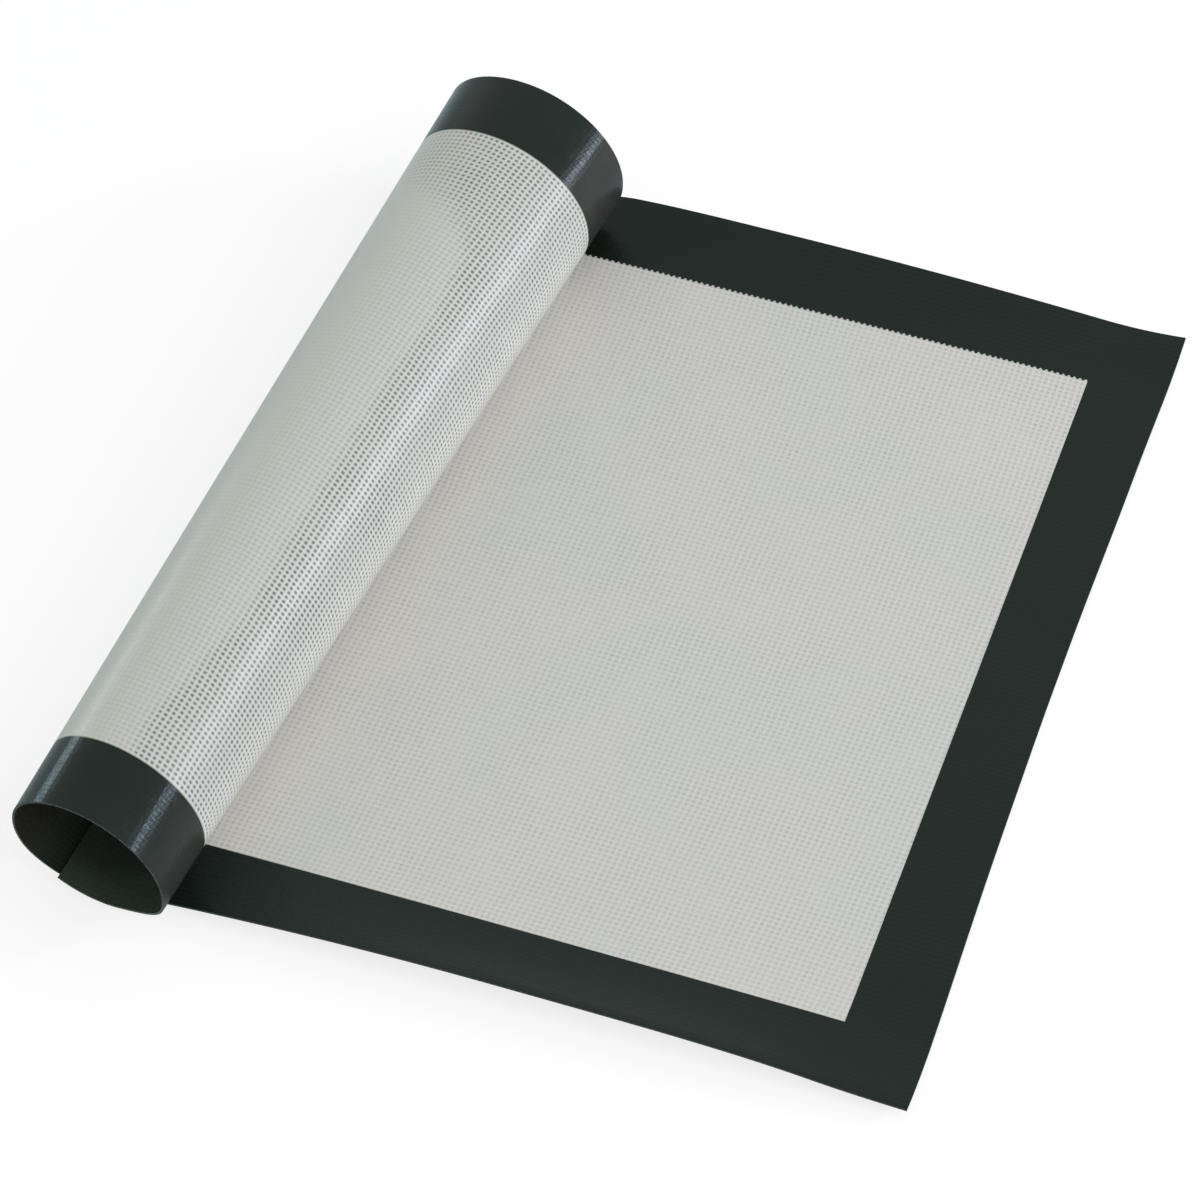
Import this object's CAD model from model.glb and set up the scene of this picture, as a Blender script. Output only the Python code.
import math

import bpy
import numpy as np
from mathutils import Matrix, Vector


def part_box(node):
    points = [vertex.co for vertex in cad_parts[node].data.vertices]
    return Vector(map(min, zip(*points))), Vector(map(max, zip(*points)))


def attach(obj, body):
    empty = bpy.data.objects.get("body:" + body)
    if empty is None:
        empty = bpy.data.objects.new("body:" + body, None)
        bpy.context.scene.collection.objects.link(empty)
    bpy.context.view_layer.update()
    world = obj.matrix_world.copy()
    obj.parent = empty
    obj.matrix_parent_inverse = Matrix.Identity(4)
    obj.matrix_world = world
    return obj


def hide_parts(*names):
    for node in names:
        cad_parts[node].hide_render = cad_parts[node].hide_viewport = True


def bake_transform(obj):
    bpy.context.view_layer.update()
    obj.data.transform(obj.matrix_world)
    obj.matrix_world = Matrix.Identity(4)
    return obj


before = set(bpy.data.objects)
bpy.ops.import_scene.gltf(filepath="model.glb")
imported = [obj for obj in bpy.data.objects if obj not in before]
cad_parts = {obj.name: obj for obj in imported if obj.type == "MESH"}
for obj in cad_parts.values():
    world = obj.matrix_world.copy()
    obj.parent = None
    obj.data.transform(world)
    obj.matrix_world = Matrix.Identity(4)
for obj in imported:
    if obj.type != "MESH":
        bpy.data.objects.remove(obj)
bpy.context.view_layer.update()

MM = 0.001

# Camera: where it stands round the mat, how far off and what it is aimed at
CAMERA_AZIMUTH = math.radians(21.354)
CAMERA_ELEVATION = math.radians(53.557)
CAMERA_ROLL = math.radians(-2.638)
CAMERA_DISTANCE = 1724 * MM
CAMERA_TARGET = Vector((-28.05 * MM, -2.52 * MM, 0))
SENSOR_WIDTH = 36
LENS = 170.67

# Sizes of the mat, as in the solid model
MAT_LENGTH = 420 * MM
ROLL_RADIUS = 29.1 * MM
ROLL_TAPER = 5 * MM
TURN_GAP = 0.5 * MM
WINDOW_STRIPS = 14
END_STRIPS = 2

# Edges of the mat and of its pale window, and the heights of its layers, from the frame
mesh_low, mesh_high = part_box("flat_mesh")
coat_low, coat_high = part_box("flat_top_coat")
RIGHT_EDGE = mesh_high.x
NEAR_EDGE = mesh_low.y
FAR_EDGE = mesh_high.y
RIGHT_WINDOW_EDGE = coat_high.x
NEAR_WINDOW_EDGE = coat_low.y
FAR_WINDOW_EDGE = coat_high.y
MESH_BOTTOM = mesh_low.z
MESH_TOP = mesh_high.z
MAT_THICKNESS = coat_high.z
MAT_WIDTH = FAR_EDGE - NEAR_EDGE
BORDER_WIDTH = FAR_EDGE - FAR_WINDOW_EDGE
FREE_EDGE = RIGHT_EDGE - MAT_LENGTH
LEFT_WINDOW_EDGE = FREE_EDGE + BORDER_WIDTH

# The cone that the roll is wound on
FLAT_LENGTH = 2 * RIGHT_EDGE
CONTACT_X = -RIGHT_EDGE
CONE_ANGLE = math.asin(ROLL_TAPER / MAT_WIDTH)
APEX_DISTANCE = ROLL_RADIUS / math.sin(CONE_ANGLE)
SKEW = math.asin((MAT_LENGTH - FLAT_LENGTH) / APEX_DISTANCE)
APEX = np.array([CONTACT_X - APEX_DISTANCE * math.sin(SKEW), -APEX_DISTANCE * math.cos(SKEW), 0])
CONTACT_DIR = np.array([math.sin(SKEW), math.cos(SKEW), 0])
LEFT_DIR = np.array([-math.cos(SKEW), math.sin(SKEW), 0])
UP = np.array([0, 0, 1])
CONE_AXIS = math.cos(CONE_ANGLE) * CONTACT_DIR + math.sin(CONE_ANGLE) * UP
CONE_DOWN = math.sin(CONE_ANGLE) * CONTACT_DIR - math.cos(CONE_ANGLE) * UP
LEAN_PER_TURN = math.atan((MAT_THICKNESS + TURN_GAP) / APEX_DISTANCE)
REFINE_STEPS = 8

# How the sheet departs from the plain cone and plane
NEAR_BOW = 8.4 * MM
FAR_BOW = 5.5 * MM
BOW_REACH = 1.5 * BORDER_WIDTH
NEAR_BOW_PEAK, NEAR_BOW_FULLNESS, NEAR_BOW_START = 0.5, (2, 4), (0, 0.05)
FAR_BOW_PEAK, FAR_BOW_FULLNESS, FAR_BOW_START = 0.4, (4, 2), (0.02, 0.13)
CORNER_LIFT = 3 * MM
CORNER_REACH = 26 * MM
NEAR_FLARE = 2.1 * MM
NEAR_FLARE_END = 0.38
FAR_FLARE = 0.7 * MM
FAR_FLARE_START = 0.8
EDGE_DRAW_IN = 0.6 * MM
DRAW_IN_MIDDLE, DRAW_IN_FADE = 0.56, (0.03, 0.25)
DRAW_BACK = 5.3 * MM
DRAW_BACK_FROM = math.radians(268)
DRAW_BACK_TO = math.radians(345)
DRAW_OUT = 1.2 * MM
DRAW_OUT_RISE = np.radians((8, 30))
DRAW_OUT_FALL = np.radians((60, 110))

# How oval the roll's section is: shares of its height and of its half width, in the middle of the
# roll, at both ends and more at the far end than at the near one
MIDDLE_RISE_SHARE = 0.012
END_SAG_SHARE = 0.047
FAR_SAG_SHARE = 0.024
MIDDLE_BULGE_SHARE = 0.012
END_BULGE_SHARE = 0.022
FAR_BULGE_SHARE = 0.018

# How finely the sheet is divided
TURN_STEP = math.radians(1.5)
FLAT_STEP = 4 * MM
BORDER_ROWS = 6
WINDOW_ROWS = 30
NORMAL_STEP = 0.02 * MM

# Seams: the first one's distance from the line of contact, and the flaps that close them
SEAM_FROM_CONTACT = 6 * MM
FLAP = 0.45 * MM
FLAP_INSET = 0.02 * MM

# Weave of the glass-fibre mesh as it shows through the silicone, in millimetres, with cross yarns
# that bow a little. A sway is the noise's stretch along and across the sheet, and its reach.
PITCH_ALONG = 1.855
PITCH_ACROSS = 1.65
YARN_SKEW = -0.04
YARN_BOW = 0.0002
YARN_SWAY_ALONG = ((0.03, 0.05), 0.4)
YARN_SWAY_ACROSS = ((0.04, 0.03), 0.35)
WIDTH_SWAY_ALONG = ((0.5, 0.06), 0.3)
WIDTH_SWAY_ACROSS = ((0.06, 0.55), 0.3)


def smooth_share(value, start, end):
    """0 before start, 1 after end, and smooth between them."""
    share = np.clip((value - start) / (end - start), 0, 1)
    return share * share * (3 - 2 * share)


# The unrolled sheet wound on the cone

def lean(turned):
    """How far the sheet leans in from the cone at a turning angle, to leave room for the turn outside."""
    return LEAN_PER_TURN * turned / (2 * math.pi)


def sheet_angle(turned):
    """Angle about the apex in the unrolled sheet, from the turning angle round the cone."""
    return turned * np.sin(CONE_ANGLE - lean(turned) / 2)


def turn_angle(angle):
    """Turning angle round the cone, from the angle about the apex in the unrolled sheet."""
    turned = 0 * angle
    for _ in range(REFINE_STEPS):
        turned = angle / np.sin(CONE_ANGLE - lean(turned) / 2)
    return turned


def contact_line_x(y):
    """Place along the mat of the line where the roll leaves the floor."""
    return CONTACT_X + y * math.tan(SKEW)


def generator_x(turned, y):
    """Place along the unrolled sheet of the straight line at a turning angle, at a place across it."""
    return APEX[0] + (y - APEX[1]) * np.tan(SKEW - sheet_angle(turned))


def turn_at(x, y):
    """Turning angle at which a point of the unrolled sheet lies, 0 on the flat part."""
    return np.maximum(turn_angle(SKEW - np.arctan2(x - APEX[0], y - APEX[1])), 0)


def bow(share, peak, before, after):
    """Height of a bowed edge, from 0 at its ends to 1 at its peak, fuller where an exponent is larger."""
    rising = 1 - (np.clip(peak - share, 0, peak) / peak) ** before
    falling = 1 - (np.clip(share - peak, 0, 1 - peak) / (1 - peak)) ** after
    return np.minimum(rising, falling)


def edge_bow(share, from_edge, height, peak, fullness, start):
    """Height of the sheet beside a long edge that bows up, at a share of the way along the flat part."""
    beside = np.clip(1 - from_edge / BOW_REACH, 0, 1) ** 2
    return height * beside * bow(share, peak, *fullness) * smooth_share(share, *start)


def corner_curl(x, y, edge):
    """Height of the curled corner where the right edge meets a long edge."""
    distance = np.hypot(RIGHT_EDGE - x, edge - y)
    return CORNER_LIFT * np.clip(1 - distance / CORNER_REACH, 0, 1) ** 2


def lift(x, y):
    """Height of the flat part over the floor: its long edges bow up, and its corners curl."""
    start = contact_line_x(y)
    share = np.clip((x - start) / (RIGHT_EDGE - start), 0, 1)
    near = edge_bow(share, y - NEAR_EDGE, NEAR_BOW, NEAR_BOW_PEAK, NEAR_BOW_FULLNESS, NEAR_BOW_START)
    far = edge_bow(share, FAR_EDGE - y, FAR_BOW, FAR_BOW_PEAK, FAR_BOW_FULLNESS, FAR_BOW_START)
    return near + far + corner_curl(x, y, FAR_EDGE) + corner_curl(x, y, NEAR_EDGE)


def flare(x, y):
    """How far the right border's outer edge stands out near its corners, and draws in between them."""
    in_border = np.clip((x - RIGHT_WINDOW_EDGE) / BORDER_WIDTH, 0, 1)
    way = (y - NEAR_EDGE) / MAT_WIDTH
    near = NEAR_FLARE * (1 - smooth_share(way, 0, NEAR_FLARE_END))
    far = FAR_FLARE * smooth_share(way, FAR_FLARE_START, 1)
    middle = EDGE_DRAW_IN * (1 - smooth_share(abs(way - DRAW_IN_MIDDLE), *DRAW_IN_FADE))
    return in_border * (near + far - middle)


def sagged(points):
    """The roll's round section turned slightly oval, most of all at its far end."""
    x, y, z = np.moveaxis(points, -1, 0)
    way = 2 * y / MAT_WIDTH
    height = z * (1 + MIDDLE_RISE_SHARE - END_SAG_SHARE * way**2 - FAR_SAG_SHARE * way)
    sideways = np.maximum((x - contact_line_x(y)) * LEFT_DIR[0], 0)
    bulge = sideways * (MIDDLE_BULGE_SHARE + END_BULGE_SHARE * way**2 + FAR_BULGE_SHARE * way)
    return np.stack([x + bulge * LEFT_DIR[0], y + bulge * LEFT_DIR[1], height], -1)


def cone_line(turned):
    """Direction of the cone's straight line at a turning angle."""
    out = np.cos(turned) * CONE_DOWN + np.sin(turned) * LEFT_DIR
    slope = CONE_ANGLE - lean(turned)
    return np.cos(slope) * CONE_AXIS + np.sin(slope) * out


def apex_reach(x, y):
    """Distance of a point of the unrolled sheet from the cone's apex."""
    return np.hypot(x - APEX[0], y - APEX[1])[..., None]


def back_point(x, y):
    """Where a point of the unrolled sheet's back face lies."""
    turned = turn_at(x, y)[..., None]
    reach = apex_reach(x, y) + DRAW_BACK * smooth_share(turned, DRAW_BACK_FROM, DRAW_BACK_TO)
    low_left = smooth_share(turned, *DRAW_OUT_RISE) * (1 - smooth_share(turned, *DRAW_OUT_FALL))
    rolled = sagged(APEX + (reach - DRAW_OUT * low_left) * cone_line(turned))
    flat = np.stack([x + flare(x, y), y, lift(x, y)], -1)
    return np.where(turned > 0, rolled, flat)


def face_direction(x, y):
    """Unit vector out of the top face."""
    along = back_point(x + NORMAL_STEP, y) - back_point(x - NORMAL_STEP, y)
    across = back_point(x, y + NORMAL_STEP) - back_point(x, y - NORMAL_STEP)
    direction = np.cross(along, across)
    return direction / np.linalg.norm(direction, axis=-1, keepdims=True)


# Meshes of the layers

def slab(xs, ys, cells, low, high, insets):
    """Vertices, quads and corner normals of one layer over the chosen cells of a grid of sheet places.

    Each of the grid's columns has its own inset, by which the layer is thinner on both faces.
    """
    columns, rows = xs.shape
    base = back_point(xs, ys)
    out = face_direction(xs, ys)
    under = base + (low + insets)[:, None, None] * out
    over = base + (high - insets)[:, None, None] * out
    points = np.concatenate([under.reshape(-1, 3), over.reshape(-1, 3)])
    normals = out.reshape(-1, 3)
    top = columns * rows

    def corner(i, j):
        return i * rows + j

    quads, corner_normals = [], []

    def add(quad, directions):
        quads.append(quad)
        corner_normals.extend(directions)

    def add_wall(a, b):
        quad = [a, b, b + top, a + top]
        edge = points[b] - points[a]
        direction = np.cross(edge, points[a + top] - points[a])
        direction = direction / np.linalg.norm(direction)
        add(quad, [direction] * 4)

    def inside(i, j):
        return 0 <= i < columns - 1 and 0 <= j < rows - 1 and cells[i, j]

    for i in range(columns - 1):
        for j in range(rows - 1):
            if not cells[i, j]:
                continue
            ring = [corner(i, j), corner(i + 1, j), corner(i + 1, j + 1), corner(i, j + 1)]
            add([c + top for c in ring], [normals[c] for c in ring])
            add(ring[::-1], [-normals[c] for c in ring[::-1]])
            if not inside(i, j - 1):
                add_wall(ring[0], ring[1])
            if not inside(i + 1, j):
                add_wall(ring[1], ring[2])
            if not inside(i, j + 1):
                add_wall(ring[2], ring[3])
            if not inside(i - 1, j):
                add_wall(ring[3], ring[0])
    return points, quads, corner_normals


def make_piece(name, xs, ys, cells, layers, insets=None):
    """One object of the given layers, each (low, high, material), over the chosen cells."""
    if insets is None:
        insets = np.zeros(len(xs))
    points, quads, normals, slots = [], [], [], []
    for number, (low, high, _) in enumerate(layers):
        part_points, part_quads, part_normals = slab(xs, ys, cells, low, high, insets)
        offset = sum(len(p) for p in points)
        points.append(part_points)
        quads += [[c + offset for c in quad] for quad in part_quads]
        normals += part_normals
        slots += [number] * len(part_quads)
    points = np.concatenate(points)
    turned = np.degrees(turn_at(xs, ys))
    place = np.stack([xs / MM, ys / MM, turned], -1).reshape(-1, 3)
    places = np.tile(place, (2 * len(layers), 1))
    used = sorted({c for quad in quads for c in quad})
    renumbered = {old: new for new, old in enumerate(used)}
    mesh = bpy.data.meshes.new(name)
    mesh.from_pydata(points[used], [], [[renumbered[c] for c in quad] for quad in quads])
    attribute = mesh.attributes.new("cloth_place", "FLOAT_VECTOR", "POINT")
    attribute.data.foreach_set("vector", places[used].astype(np.float32).ravel())
    for _, _, material in layers:
        mesh.materials.append(material)
    mesh.polygons.foreach_set("material_index", slots)
    mesh.polygons.foreach_set("use_smooth", [True] * len(mesh.polygons))
    mesh.update()
    mesh.normals_split_custom_set([tuple(n) for n in normals])
    piece = bpy.data.objects.new(name, mesh)
    bpy.context.scene.collection.objects.link(piece)
    return piece


# Materials

# How far noise swings to either side of its middle, 0.5
NOISE_SWING = 0.25


class Shader:
    """A material's node tree, with short calls for the maths in it."""

    def __init__(self, name):
        self.material = bpy.data.materials.new(name)
        self.material.use_nodes = True
        self.tree = self.material.node_tree
        self.surface = self.tree.nodes["Principled BSDF"]
        self.read_place()
        self.weave()

    def node(self, kind, **settings):
        """A new node of a kind, with its settings."""
        made = self.tree.nodes.new(kind)
        for key, value in settings.items():
            setattr(made, key, value)
        return made

    def put(self, socket, value):
        """Give a socket its value: a link from another socket, or a constant."""
        if isinstance(value, bpy.types.NodeSocket):
            self.tree.links.new(value, socket)
        else:
            socket.default_value = value

    def calc(self, operation, *values):
        """Result of one of the maths node's operations."""
        made = self.node("ShaderNodeMath", operation=operation)
        for socket, value in zip(made.inputs, values):
            self.put(socket, value)
        return made.outputs[0]

    def add(self, *values):
        """Sum of the values."""
        total = values[0]
        for value in values[1:]:
            total = self.calc("ADD", total, value)
        return total

    def times(self, *values):
        """Product of the values."""
        total = values[0]
        for value in values[1:]:
            total = self.calc("MULTIPLY", total, value)
        return total

    def ramp(self, value, start, end, low=0.0, high=1.0):
        """Smooth change from low to high while the value goes from start to end."""
        made = self.node("ShaderNodeMapRange", interpolation_type="SMOOTHSTEP")
        names = ("Value", "From Min", "From Max", "To Min", "To Max")
        for name, x in zip(names, (value, start, end, low, high)):
            self.put(made.inputs[name], x)
        return made.outputs["Result"]

    def mix(self, share, first, second):
        """The first colour where the share is 0, and the second where it is 1."""
        made = self.node("ShaderNodeMix", data_type="RGBA")
        self.put(made.inputs["Factor"], share)
        self.put(made.inputs["A"], first)
        self.put(made.inputs["B"], second)
        return made.outputs["Result"]

    def noise(self, stretch):
        """Noise from 0 to 1 whose grain measures 1 / stretch millimetres along and across the sheet."""
        mapping = self.node("ShaderNodeMapping")
        self.put(mapping.inputs["Vector"], self.place)
        mapping.inputs["Scale"].default_value = (*stretch, 0)
        made = self.node("ShaderNodeTexNoise")
        self.put(made.inputs["Vector"], mapping.outputs[0])
        made.inputs["Scale"].default_value = 1.0
        return made.outputs["Fac"]

    def sway(self, stretch, amount):
        """Noise that swings amount to either side of 0."""
        return self.times(self.calc("SUBTRACT", self.noise(stretch), 0.5), amount / NOISE_SWING)

    def read_place(self):
        """Places along and across the unrolled sheet in millimetres, and the turning angle in degrees."""
        place = self.node("ShaderNodeAttribute", attribute_name="cloth_place")
        self.place = place.outputs["Vector"]
        parts = self.node("ShaderNodeSeparateXYZ")
        self.put(parts.inputs[0], self.place)
        self.along, self.across, self.turned = parts.outputs

    def weave(self):
        """The plain weave: waves that peak between the yarns, and the height of the yarns' crowns."""
        bowed = self.times(self.across, self.add(YARN_SKEW, self.times(self.across, YARN_BOW)))
        along = self.add(self.along, bowed, self.sway(*YARN_SWAY_ALONG))
        across = self.add(self.across, self.sway(*YARN_SWAY_ACROSS))
        half_along = self.times(along, math.pi / PITCH_ALONG)
        half_across = self.times(across, math.pi / PITCH_ACROSS)
        wave_along = self.calc("COSINE", self.times(half_along, 2.0))
        wave_across = self.calc("COSINE", self.times(half_across, 2.0))
        over = self.times(self.calc("SINE", half_along), self.calc("SINE", half_across))
        self.warp_crown = self.calc("MULTIPLY_ADD", wave_along, -0.5, 0.5)
        weft_crown = self.calc("MULTIPLY_ADD", wave_across, -0.5, 0.5)
        self.crowns = self.calc(
            "MAXIMUM",
            self.times(self.warp_crown, self.calc("MULTIPLY_ADD", over, 0.5, 0.5)),
            self.times(weft_crown, self.calc("MULTIPLY_ADD", over, -0.5, 0.5)),
        )
        self.uneven_along = self.add(wave_along, self.sway(*WIDTH_SWAY_ALONG))
        self.uneven_across = self.add(wave_across, self.sway(*WIDTH_SWAY_ACROSS))

    def gaps(self, start, end):
        """1 in the gaps between yarns, 0 on the yarns, whose widths vary."""
        return self.times(
            self.ramp(self.uneven_along, start, end), self.ramp(self.uneven_across, start, end)
        )

    def blotches(self, stretch, low=0.0, high=1.0):
        """Soft blotches whose values run from low to high."""
        return self.ramp(self.noise(stretch), 0.3, 0.7, low, high)

    def bump(self, height, distance, strength):
        """Relief as deep as the distance between heights of 0 and 1, shown at a strength."""
        made = self.node("ShaderNodeBump")
        made.inputs["Strength"].default_value = strength
        made.inputs["Distance"].default_value = distance
        self.put(made.inputs["Height"], height)
        self.put(self.surface.inputs["Normal"], made.outputs[0])


def srgb(red, green, blue):
    """Linear colour of an 8-bit one."""
    values = [c / 255 for c in (red, green, blue)]
    return tuple(c / 12.92 if c <= 0.04045 else ((c + 0.055) / 1.055) ** 2.4 for c in values) + (1,)


YARN = srgb(194, 192, 186)
YARN_COOL = srgb(189, 191, 185)
YARN_WARM = srgb(201, 198, 191)
YARN_LOW = srgb(208, 210, 204)
YARN_LEFT = srgb(195, 196, 187)
YARN_BACK = srgb(179, 182, 177)
YARN_CONTACT = srgb(208, 208, 202)
CROWN_LIFT = srgb(214, 216, 211)
SOFT_GAP = srgb(168, 172, 166)
DARK_GAP = srgb(54, 64, 57)
DARK_TOP = srgb(24, 32, 27)
DARK_BACK = srgb(30, 37, 33)
DARK_INSIDE = srgb(63, 74, 66)
DARK_DEEP = srgb(20, 26, 22)
DARK_LOW = srgb(72, 69, 66)
BROWN_INSIDE = srgb(60, 58, 50)
MESH_DARK = srgb(44, 49, 42)
MESH_CROWN = srgb(82, 88, 76)
EDGE_LINE = srgb(138, 144, 124)
TOOTH = srgb(176, 179, 172)
REFLECTION_TINT = (0.73, 0.94, 0.96, 1)
SILICONE_IOR = 1.41

# Ramps of the weave's waves over which a gap between yarns shows
FAINT_GAP = (-0.75, 0.85)
SHARP_GAP = (-0.45, 0.35)
DARK_GROOVE = (-0.3, 0.9)

# Turning angles, in degrees, over which the top face's looks change from the flat part into the roll
TEETH_END = (0.0, 20.0)
LINE_DARKENS = (0.0, 40.0)
WARMTH_ENDS = (0.0, 60.0)
GROOVES_FADE = (10.0, 60.0)
INSIDE_GREEN = (10.0, 70.0)
INSIDE_BROWN = (30.0, 70.0)
BROWN_ENDS = (120.0, 200.0)

# Turning angles, in degrees, over which the back face's looks change
LOW_TO_LEFT = (65.0, 95.0)
LEFT_TO_TOP = (150.0, 208.0)
TOP_TO_CONTACT = (238.0, 275.0)
WEAVE_SHOWS = (145.0, 205.0)
GAPS_GREY = (155.0, 205.0)
GAPS_DARK = 201.5
GAPS_FADE = (236.0, 290.0)
BORDER_PALES = (222.0, 245.0)
RELIEF_FADES = (222.0, 248.0)

# Places across the roll, in millimetres, between which its near or far end begins
NEAR_END = (-112.0, -70.0)
FAR_END = (74.0, 114.0)

# How much earlier the dark gaps begin at the roll's near and far end, how much that sways, and how
# slowly they set in before the far end and at it, all in degrees
EARLIER_NEAR = 14.0
EARLIER_FAR = 62.0
EARLIER_SWAY = ((0.03, 0.06), 3.0)
GAPS_SET_IN = (7.0, 45.0)

# How strongly the dark gaps show where they are darkest, and before they begin
GAPS_DARKEST = 0.72
GAPS_BEFORE = 0.12

# Places along the sheet, in millimetres, between which the top face's looks change beside the roll
WARM_BESIDE_ROLL = (CONTACT_X / MM + 24, CONTACT_X / MM + 48)
DEEP_BESIDE_ROLL = (CONTACT_X / MM + 20, CONTACT_X / MM + 90)

# Places across the sheet, in millimetres, between which the border's looks reach full strength
BACK_PALES_ACROSS = (-100.0, 0.0)
TOP_DEEPENS_ACROSS = (0.0, 100.0)

# Millimetres over which the line round the pale window fades, the length of the teeth along its far
# edge, and how soft the teeth, the last of them and the mesh's change of colour are
LINE_FADES = (0.15, 0.5)
TOOTH_LENGTH = 0.75
TOOTH_SOFTNESS = 0.2
LAST_TOOTH_SOFTNESS = 0.1
MESH_SOFTNESS = 0.4


def window_edge_distance(shader):
    """Distance in from the nearest edge of the pale window, in millimetres."""
    from_near = shader.calc("SUBTRACT", shader.across, NEAR_WINDOW_EDGE / MM)
    from_far = shader.calc("SUBTRACT", FAR_WINDOW_EDGE / MM, shader.across)
    from_right = shader.calc("SUBTRACT", RIGHT_WINDOW_EDGE / MM, shader.along)
    from_left = shader.calc("SUBTRACT", shader.along, LEFT_WINDOW_EDGE / MM)
    across = shader.calc("MINIMUM", from_near, from_far)
    return shader.calc("MINIMUM", across, shader.calc("MINIMUM", from_right, from_left))


def contact_place(shader):
    """Place along the sheet, with the slant of the line of contact taken out, in millimetres."""
    return shader.calc("SUBTRACT", shader.along, shader.times(shader.across, math.tan(SKEW)))


def pale_silicone(name, base_colour, faint_share, dark_share, roughness):
    """Pale silicone over the weave. The shares say how faint and how dark the gaps between yarns show."""
    shader = Shader(name)
    base = base_colour(shader)
    crowned = shader.mix(shader.times(shader.ramp(shader.crowns, 0.5, 1.0), 0.25), base, CROWN_LIFT)
    faint = shader.mix(shader.times(shader.gaps(*FAINT_GAP), faint_share(shader)), crowned, SOFT_GAP)
    colour = shader.mix(shader.times(shader.gaps(*SHARP_GAP), dark_share(shader)), faint, DARK_GAP)
    line = shader.ramp(window_edge_distance(shader), *LINE_FADES, 1.0, 0.0)
    rolled = shader.ramp(shader.turned, *LINE_DARKENS, 0.25, 1.0)
    colour = shader.mix(shader.times(line, rolled), colour, EDGE_LINE)
    shader.put(shader.surface.inputs["Base Color"], colour)
    uneven = shader.blotches((0.3, 0.3), roughness, roughness + 0.08)
    shader.put(shader.surface.inputs["Roughness"], uneven)
    shader.surface.inputs["IOR"].default_value = SILICONE_IOR
    shader.surface.inputs["Specular IOR Level"].default_value = 0.22
    shader.bump(shader.crowns, distance=0.05 * MM, strength=0.7)
    return shader.material


def top_base(shader):
    """The top face, a little warmer beside the roll."""
    soft = shader.mix(shader.blotches((0.015, 0.015)), YARN, YARN_COOL)
    warm = shader.ramp(contact_place(shader), *WARM_BESIDE_ROLL, 0.9, 0.0)
    on_flat = shader.ramp(shader.turned, *WARMTH_ENDS, 1.0, 0.0)
    return shader.mix(shader.times(warm, on_flat), soft, YARN_WARM)


def back_base(shader):
    """The back face, greener and darker on the left side of the roll and pale beside its line of contact."""
    left = shader.mix(shader.ramp(shader.turned, *LOW_TO_LEFT), YARN_LOW, YARN_LEFT)
    top = shader.mix(shader.ramp(shader.turned, *LEFT_TO_TOP), left, YARN_BACK)
    return shader.mix(shader.ramp(shader.turned, *TOP_TO_CONTACT), top, YARN_CONTACT)


def back_faint_share(shader):
    """The weave fades out towards the left side of the roll."""
    return shader.ramp(shader.turned, *WEAVE_SHOWS, 0.05, 0.8)


def back_dark_share(shader):
    """The gaps show dark on the right side of the roll, and all round its far end."""
    near_end = shader.ramp(shader.across, *NEAR_END, EARLIER_NEAR, 0.0)
    far_end = shader.ramp(shader.across, *FAR_END, 0.0, EARLIER_FAR)
    earlier = shader.add(near_end, far_end, shader.sway(*EARLIER_SWAY))
    start = shader.calc("SUBTRACT", GAPS_DARK, earlier)
    width = shader.ramp(shader.across, *FAR_END, *GAPS_SET_IN)
    rise = shader.ramp(shader.turned, shader.calc("SUBTRACT", start, width), shader.add(start, width))
    before = shader.ramp(shader.turned, *GAPS_GREY, 0.0, GAPS_BEFORE)
    fall = shader.ramp(shader.turned, *GAPS_FADE, 1.0, 0.7)
    patchy = shader.blotches((0.05, 0.05), 0.82, 1.0)
    return shader.calc("MAXIMUM", shader.times(rise, fall, patchy, GAPS_DARKEST), before)


def top_faint_share(shader):
    """The weave shows faintly all over the top face, here more and there less."""
    return shader.blotches((0.04, 0.04), 0.5, 0.85)


def top_dark_share(shader):
    """A few of the top face's gaps are a little darker."""
    return shader.ramp(shader.noise((0.3, 0.3)), 0.45, 0.7, 0.0, 0.08)


def clouded(shader, colour):
    """A dark colour with deeper clouds, longer along the sheet than across it."""
    clouds = shader.ramp(shader.noise((0.02, 0.05)), 0.35, 0.7)
    return shader.mix(shader.times(clouds, 0.3), colour, DARK_DEEP)


def top_dark(shader):
    """The border's top face: darkest beside the roll's far end, and lighter inside the roll."""
    beside = shader.ramp(contact_place(shader), *DEEP_BESIDE_ROLL, 0.9, 0.0)
    beside = shader.times(beside, shader.ramp(shader.across, *TOP_DEEPENS_ACROSS))
    outside = shader.mix(beside, DARK_TOP, DARK_DEEP)
    green = shader.mix(shader.ramp(shader.turned, *INSIDE_GREEN), outside, DARK_INSIDE)
    brown = shader.times(
        shader.ramp(shader.turned, *INSIDE_BROWN), shader.ramp(shader.turned, *BROWN_ENDS, 1.0, 0.0)
    )
    return clouded(shader, shader.mix(brown, green, BROWN_INSIDE))


def back_dark(shader):
    """The border's back face: paler in patches low on the roll's right side, and less so at its near end."""
    patchy = shader.ramp(shader.noise((0.03, 0.03)), 0.35, 0.65, 0.5, 1.0)
    far = shader.ramp(shader.across, *BACK_PALES_ACROSS, 0.6, 1.0)
    pale = shader.times(shader.ramp(shader.turned, *BORDER_PALES, 0.0, 0.6), far, patchy)
    return shader.mix(pale, clouded(shader, DARK_BACK), DARK_LOW)


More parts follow.
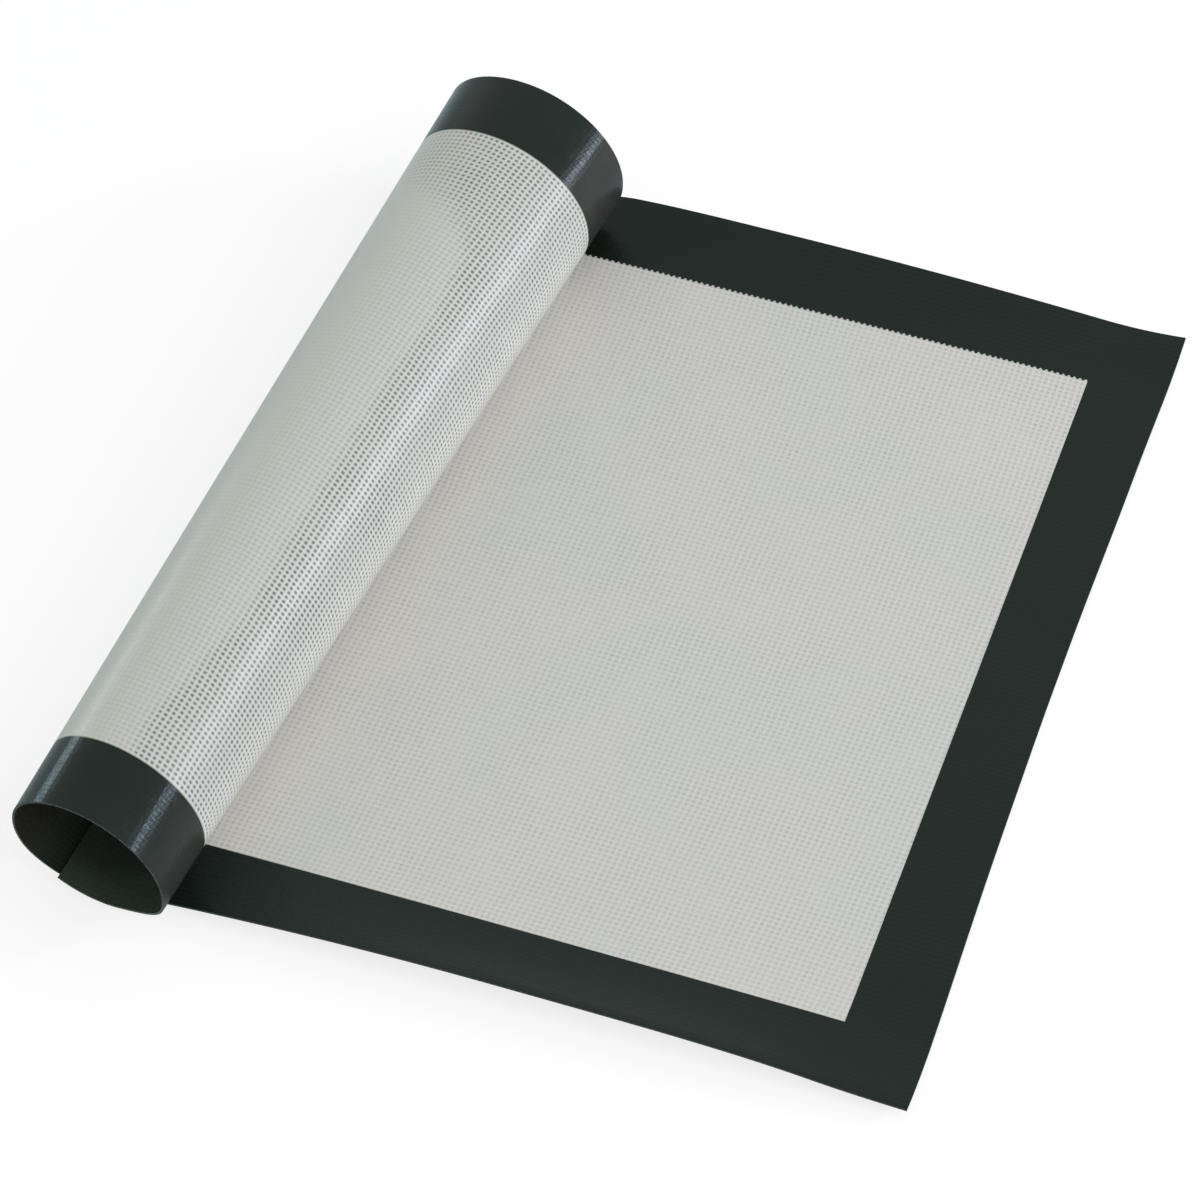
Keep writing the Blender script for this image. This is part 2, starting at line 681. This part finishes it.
def dark_silicone(name, is_top, relief, roughness, specular):
    """Dark silicone over the weave, with the pale silicone's teeth along its far inner edge."""
    shader = Shader(name)
    if is_top:
        base = top_dark(shader)
        groove_share = shader.ramp(shader.turned, *GROOVES_FADE, 0.8, 0.1)
        height = shader.crowns
    else:
        base = back_dark(shader)
        groove_share = 0.12
        height = shader.times(shader.crowns, shader.ramp(shader.turned, *RELIEF_FADES, 1.0, 0.3))
    grooves = shader.times(shader.ramp(shader.uneven_across, *DARK_GROOVE), groove_share)
    colour = shader.mix(grooves, base, DARK_DEEP)
    past_edge = shader.calc("ABSOLUTE", shader.calc("SUBTRACT", shader.across, FAR_WINDOW_EDGE / MM))
    last = RIGHT_WINDOW_EDGE / MM
    in_length = shader.ramp(shader.along, last - LAST_TOOTH_SOFTNESS, last, 1.0, 0.0)
    on_flat = shader.ramp(shader.turned, *TEETH_END, 1.0, 0.0)
    tooth = shader.calc("SUBTRACT", shader.times(shader.warp_crown, TOOTH_LENGTH), past_edge)
    toothed = shader.times(shader.ramp(tooth, 0.0, TOOTH_SOFTNESS), in_length, on_flat)
    colour = shader.mix(toothed, colour, TOOTH)
    shader.put(shader.surface.inputs["Base Color"], colour)
    uneven = shader.blotches((0.4, 0.4), roughness, roughness + 0.07)
    shader.put(shader.surface.inputs["Roughness"], uneven)
    shader.surface.inputs["IOR"].default_value = SILICONE_IOR
    shader.surface.inputs["Specular IOR Level"].default_value = specular
    shader.surface.inputs["Specular Tint"].default_value = REFLECTION_TINT
    shader.bump(height, distance=relief, strength=0.6)
    return shader.material


def mesh_material():
    """The woven mesh, which the silicone has soaked: pale in the window and dark in the border."""
    shader = Shader("glass_mesh")
    dark = shader.mix(shader.warp_crown, MESH_DARK, MESH_CROWN)
    in_window = shader.ramp(window_edge_distance(shader), 0.0, MESH_SOFTNESS)
    colour = shader.mix(in_window, dark, YARN_COOL)
    shader.put(shader.surface.inputs["Base Color"], colour)
    shader.surface.inputs["Roughness"].default_value = 0.6
    shader.bump(shader.warp_crown, distance=0.03 * MM, strength=0.5)
    return shader.material


top_window = pale_silicone(
    "pale_silicone_top", top_base, top_faint_share, top_dark_share, roughness=0.34
)
back_window = pale_silicone(
    "pale_silicone_back", back_base, back_faint_share, back_dark_share, roughness=0.28
)
top_border = dark_silicone(
    "dark_silicone_top", is_top=True, relief=0.03 * MM, roughness=0.23, specular=0.24
)
back_border = dark_silicone(
    "dark_silicone_back", is_top=False, relief=0.035 * MM, roughness=0.19, specular=0.18
)
glass_mesh = mesh_material()

MESH_LAYERS = [(MESH_BOTTOM, MESH_TOP, glass_mesh)]
WINDOW_LAYERS = [(0, MESH_BOTTOM, back_window), (MESH_TOP, MAT_THICKNESS, top_window)]
BORDER_LAYERS = [(0, MESH_BOTTOM, back_border), (MESH_TOP, MAT_THICKNESS, top_border)]


# Grids of places on the unrolled sheet

def spread(edges, counts):
    """Values from the first edge to the last, with a count of equal steps between each two."""
    parts = [np.linspace(a, b, n, endpoint=False) for a, b, n in zip(edges, edges[1:], counts)]
    return np.concatenate(parts + [[edges[-1]]])


ROWS = spread(
    [NEAR_EDGE, NEAR_WINDOW_EDGE, FAR_WINDOW_EDGE, FAR_EDGE], [BORDER_ROWS, WINDOW_ROWS, BORDER_ROWS]
)


def straight_column(x):
    """A column of a grid, straight across the sheet at a place along it."""
    return np.full_like(ROWS, x)


def columns_between(lines, counts):
    """Columns of a grid between lines, each of these given by its places along the sheet for ROWS."""
    parts = [
        np.array([a + (b - a) * k / n for k in range(n)]) for a, b, n in zip(lines, lines[1:], counts)
    ]
    return np.concatenate(parts + [lines[-1][None]])


def upward(columns):
    """The same columns in rising order, so that the faces between them look out of the mat's top."""
    return columns if columns[0, 0] < columns[-1, 0] else columns[::-1]


def places_across(xs):
    """Places across the sheet of a grid's points."""
    return np.tile(ROWS, (len(xs), 1))


def window_cells(xs, ys):
    """Which cells of a grid lie in the pale window."""
    x = (xs[:-1, :-1] + xs[1:, :-1] + xs[1:, 1:] + xs[:-1, 1:]) / 4
    y = (ys[:-1, :-1] + ys[1:, :-1] + ys[1:, 1:] + ys[:-1, 1:]) / 4
    in_length = (x > LEFT_WINDOW_EDGE) & (x < RIGHT_WINDOW_EDGE)
    return in_length & (y > NEAR_WINDOW_EDGE) & (y < FAR_WINDOW_EDGE)


# Flat part

seam_x = contact_line_x(ROWS) + SEAM_FROM_CONTACT / math.cos(SKEW)
window_steps = round((FLAT_LENGTH - BORDER_WIDTH) / FLAT_STEP)
xs = upward(columns_between(
    [seam_x, straight_column(RIGHT_WINDOW_EDGE), straight_column(RIGHT_EDGE)],
    [window_steps, BORDER_ROWS],
))
ys = places_across(xs)
in_window = window_cells(xs, ys)
everywhere = np.ones_like(in_window)

flat_cloth = make_piece("flat_cloth", xs, ys, everywhere, MESH_LAYERS)
flat_window_top = make_piece("flat_window_top", xs, ys, in_window, WINDOW_LAYERS[1:])
flat_window_back = make_piece("flat_window_back", xs, ys, in_window, WINDOW_LAYERS[:1])
flat_edge_top = make_piece("flat_edge_top", xs, ys, ~in_window, BORDER_LAYERS[1:])
flat_edge_back = make_piece("flat_edge_back", xs, ys, ~in_window, BORDER_LAYERS[:1])
flat_pieces = [
    (flat_cloth, "flat_mesh", "glass_mesh"),
    (flat_window_top, "flat_top_coat", "pale_silicone"),
    (flat_window_back, "flat_back_coat", "pale_silicone"),
    (flat_edge_top, "flat_top_border", "dark_silicone"),
    (flat_edge_back, "flat_back_border", "dark_silicone"),
]
for piece, node, slot in flat_pieces:
    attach(piece, "flat")
    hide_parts(node)

# Rolled part, in stretches that each bend from the middle of one hinged strip to the middle of the next

free_edge_turn = float(turn_angle(np.array(SKEW)))
end_border_turn = float(turn_angle(np.array(SKEW - math.atan(BORDER_WIDTH / -APEX[1]))))
strip_count = WINDOW_STRIPS + END_STRIPS


def fold_turn(k):
    """Turning angle of fold number k, where fold 0 is the line of contact."""
    if k <= WINDOW_STRIPS:
        return end_border_turn * k / WINDOW_STRIPS
    return end_border_turn + (k - WINDOW_STRIPS) * (free_edge_turn - end_border_turn) / END_STRIPS


def middle_turn(k):
    """Turning angle of the middle of strip k."""
    return (fold_turn(k - 1) + fold_turn(k)) / 2


def turned_columns(start, end):
    """Columns of a grid at even turning angles from start to end."""
    steps = max(1, round((end - start) / TURN_STEP))
    return [generator_x(turned, ROWS) for turned in np.linspace(start, end, steps + 1)]


def add_flaps(xs, at_left, at_right):
    """The columns with a flap beyond an end, which lies inside the next stretch, and the columns' insets."""
    insets = np.zeros(len(xs))
    if at_left:
        xs, insets = np.concatenate([xs[:1] - FLAP, xs]), np.append(FLAP_INSET, insets)
    if at_right:
        xs, insets = np.concatenate([xs, xs[-1:] + FLAP]), np.append(insets, FLAP_INSET)
    return xs, insets


def stretch_columns(k):
    """Columns of the stretch's grid, with one along the window's left edge where it crosses that."""
    first = middle_turn(k) if k else 0.0
    last = middle_turn(k + 1) if k + 1 < strip_count else free_edge_turn
    columns = turned_columns(first, last)
    if k == 0:
        columns = [seam_x, (seam_x + columns[0]) / 2] + columns
    if columns[-1].min() < LEFT_WINDOW_EDGE < columns[0].max():
        before = [c for c in columns if c.min() > LEFT_WINDOW_EDGE]
        after = [c for c in columns if c.max() < LEFT_WINDOW_EDGE]
        columns = before + [straight_column(LEFT_WINDOW_EDGE)] + after
    return upward(np.array(columns))


for k in range(strip_count):
    xs, insets = add_flaps(stretch_columns(k), at_left=k + 1 < strip_count, at_right=k > 0)
    ys = places_across(xs)
    in_window = window_cells(xs, ys)
    everywhere = np.ones_like(in_window)
    number = f"{k:02d}"
    nodes = [n for n in (k, k + 1) if n]
    window_nodes = [f"roll_coats_{n:02d}" for n in nodes if n <= WINDOW_STRIPS]
    cloth = make_piece(f"roll_cloth_{number}", xs, ys, everywhere, MESH_LAYERS, insets)
    stretch = [(cloth, [f"roll_mesh_{n:02d}" for n in nodes], "glass_mesh")]
    if in_window.any():
        coats = make_piece(f"roll_window_{number}", xs, ys, in_window, WINDOW_LAYERS, insets)
        stretch.append((coats, window_nodes, "pale_silicone"))
    edges = make_piece(f"roll_edge_{number}", xs, ys, ~in_window, BORDER_LAYERS, insets)
    stretch.append((edges, [f"roll_border_{n:02d}" for n in nodes], "dark_silicone"))
    for piece, replaced, slot in stretch:
        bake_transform(piece)
        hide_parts(*replaced)

# Camera

back = Vector(
    (
        math.sin(CAMERA_AZIMUTH) * math.cos(CAMERA_ELEVATION),
        -math.cos(CAMERA_AZIMUTH) * math.cos(CAMERA_ELEVATION),
        math.sin(CAMERA_ELEVATION),
    )
)
level = Vector((0, 0, 1)).cross(back).normalized()
upright = back.cross(level)
right = level * math.cos(CAMERA_ROLL) + upright * math.sin(CAMERA_ROLL)
camera_data = bpy.data.cameras.new("camera")
camera_data.lens = LENS
camera_data.sensor_width = SENSOR_WIDTH
camera = bpy.data.objects.new("camera", camera_data)
camera.matrix_world = Matrix.Translation(CAMERA_TARGET + back * CAMERA_DISTANCE) @ Matrix(
    (right, back.cross(right), back)
).transposed().to_4x4()
bpy.context.scene.collection.objects.link(camera)
bpy.context.scene.camera = camera

# Floor, light and background

FLOOR_SIZE = 6.0
FLOOR_GLOW_SHARE = 0.78
FLOOR_BENEATH = 1.5 * MM
FLOOR_BOUNCE = (0.60, 0.72, 0.75, 1)
AMBIENT = 0.66
AMBIENT_COLOUR = (0.975, 1.0, 0.995, 1)
WHITE = (1, 1, 1, 1)


def make_floor():
    """A white floor that keeps the mat's faint shadow, and throws a little less light on the mat."""
    half = FLOOR_SIZE / 2
    mesh = bpy.data.meshes.new("floor")
    corners = [(-half, -half, 0), (half, -half, 0), (half, half, 0), (-half, half, 0)]
    mesh.from_pydata(corners, [], [(0, 1, 2, 3)])
    floor = bpy.data.objects.new("floor", mesh)
    floor.location.z = -FLOOR_BENEATH
    bpy.context.scene.collection.objects.link(floor)
    material = bpy.data.materials.new("floor")
    material.use_nodes = True
    tree = material.node_tree
    surface = tree.nodes["Principled BSDF"]
    surface.inputs["Roughness"].default_value = 0.9
    surface.inputs["Specular IOR Level"].default_value = 0.0
    glow = tree.nodes.new("ShaderNodeEmission")
    glow.inputs["Color"].default_value = WHITE
    path = tree.nodes.new("ShaderNodeLightPath")
    colour = tree.nodes.new("ShaderNodeMix")
    colour.data_type = "RGBA"
    colour.inputs["A"].default_value = FLOOR_BOUNCE
    colour.inputs["B"].default_value = WHITE
    tree.links.new(path.outputs["Is Camera Ray"], colour.inputs["Factor"])
    tree.links.new(colour.outputs["Result"], surface.inputs["Base Color"])
    share = tree.nodes.new("ShaderNodeMath")
    share.operation = "MULTIPLY"
    share.inputs[1].default_value = FLOOR_GLOW_SHARE
    mixed = tree.nodes.new("ShaderNodeMixShader")
    tree.links.new(path.outputs["Is Camera Ray"], share.inputs[0])
    tree.links.new(share.outputs[0], mixed.inputs["Fac"])
    tree.links.new(surface.outputs[0], mixed.inputs[1])
    tree.links.new(glow.outputs[0], mixed.inputs[2])
    tree.links.new(mixed.outputs[0], tree.nodes["Material Output"].inputs["Surface"])
    mesh.materials.append(material)


def make_world():
    """Even light from all round. The camera and reflections see plain white."""
    world = bpy.data.worlds.new("studio")
    bpy.context.scene.world = world
    world.use_nodes = True
    tree = world.node_tree
    ambient = tree.nodes["Background"]
    ambient.inputs["Color"].default_value = AMBIENT_COLOUR
    ambient.inputs["Strength"].default_value = AMBIENT
    shown = tree.nodes.new("ShaderNodeBackground")
    shown.inputs["Color"].default_value = WHITE
    path = tree.nodes.new("ShaderNodeLightPath")
    seen = path.outputs["Is Camera Ray"]
    for kind in ("Is Glossy Ray", "Is Transmission Ray"):
        either = tree.nodes.new("ShaderNodeMath")
        either.operation = "MAXIMUM"
        tree.links.new(seen, either.inputs[0])
        tree.links.new(path.outputs[kind], either.inputs[1])
        seen = either.outputs[0]
    mixed = tree.nodes.new("ShaderNodeMixShader")
    tree.links.new(seen, mixed.inputs["Fac"])
    tree.links.new(ambient.outputs[0], mixed.inputs[1])
    tree.links.new(shown.outputs[0], mixed.inputs[2])
    tree.links.new(mixed.outputs[0], tree.nodes["World Output"].inputs["Surface"])


def add_softbox(name, place, along, size, power, colour, target):
    """A rectangular lamp at a place, with its first side along a direction, that faces a target."""
    place = Vector(place)
    away = (place - Vector(target)).normalized()
    side = (Vector(along) - Vector(along).dot(away) * away).normalized()
    lamp = bpy.data.lights.new(name, "AREA")
    lamp.shape = "RECTANGLE"
    lamp.size, lamp.size_y = size
    lamp.energy = power
    lamp.color = colour
    made = bpy.data.objects.new(name, lamp)
    turned = Matrix((side, away.cross(side), away)).transposed().to_4x4()
    made.matrix_world = Matrix.Translation(place) @ turned
    bpy.context.scene.collection.objects.link(made)


make_floor()
make_world()
add_softbox(
    "key",
    place=(1.35, -0.44, 1.68),
    along=(0, 1, 0),
    size=(1.3, 1.3),
    power=18,
    colour=(1.0, 0.97, 0.94),
    target=(0, 0, 0),
)
add_softbox(
    "right_strip",
    place=(1.35, 0.62, 0.63),
    along=(0.04, 0.80, -0.60),
    size=(0.8, 0.1),
    power=14,
    colour=(0.86, 0.85, 1.0),
    target=(CONTACT_X, 0, 2 * ROLL_RADIUS),
)
add_softbox(
    "left_strip",
    place=(-0.896, 0.346, 0.09),
    along=(0, 1, 0),
    size=(0.16, 0.14),
    power=0.6,
    colour=(0.72, 0.9, 1.0),
    target=(CONTACT_X, NEAR_EDGE, 2 * ROLL_RADIUS),
)

bpy.context.scene.view_settings.view_transform = "Standard"
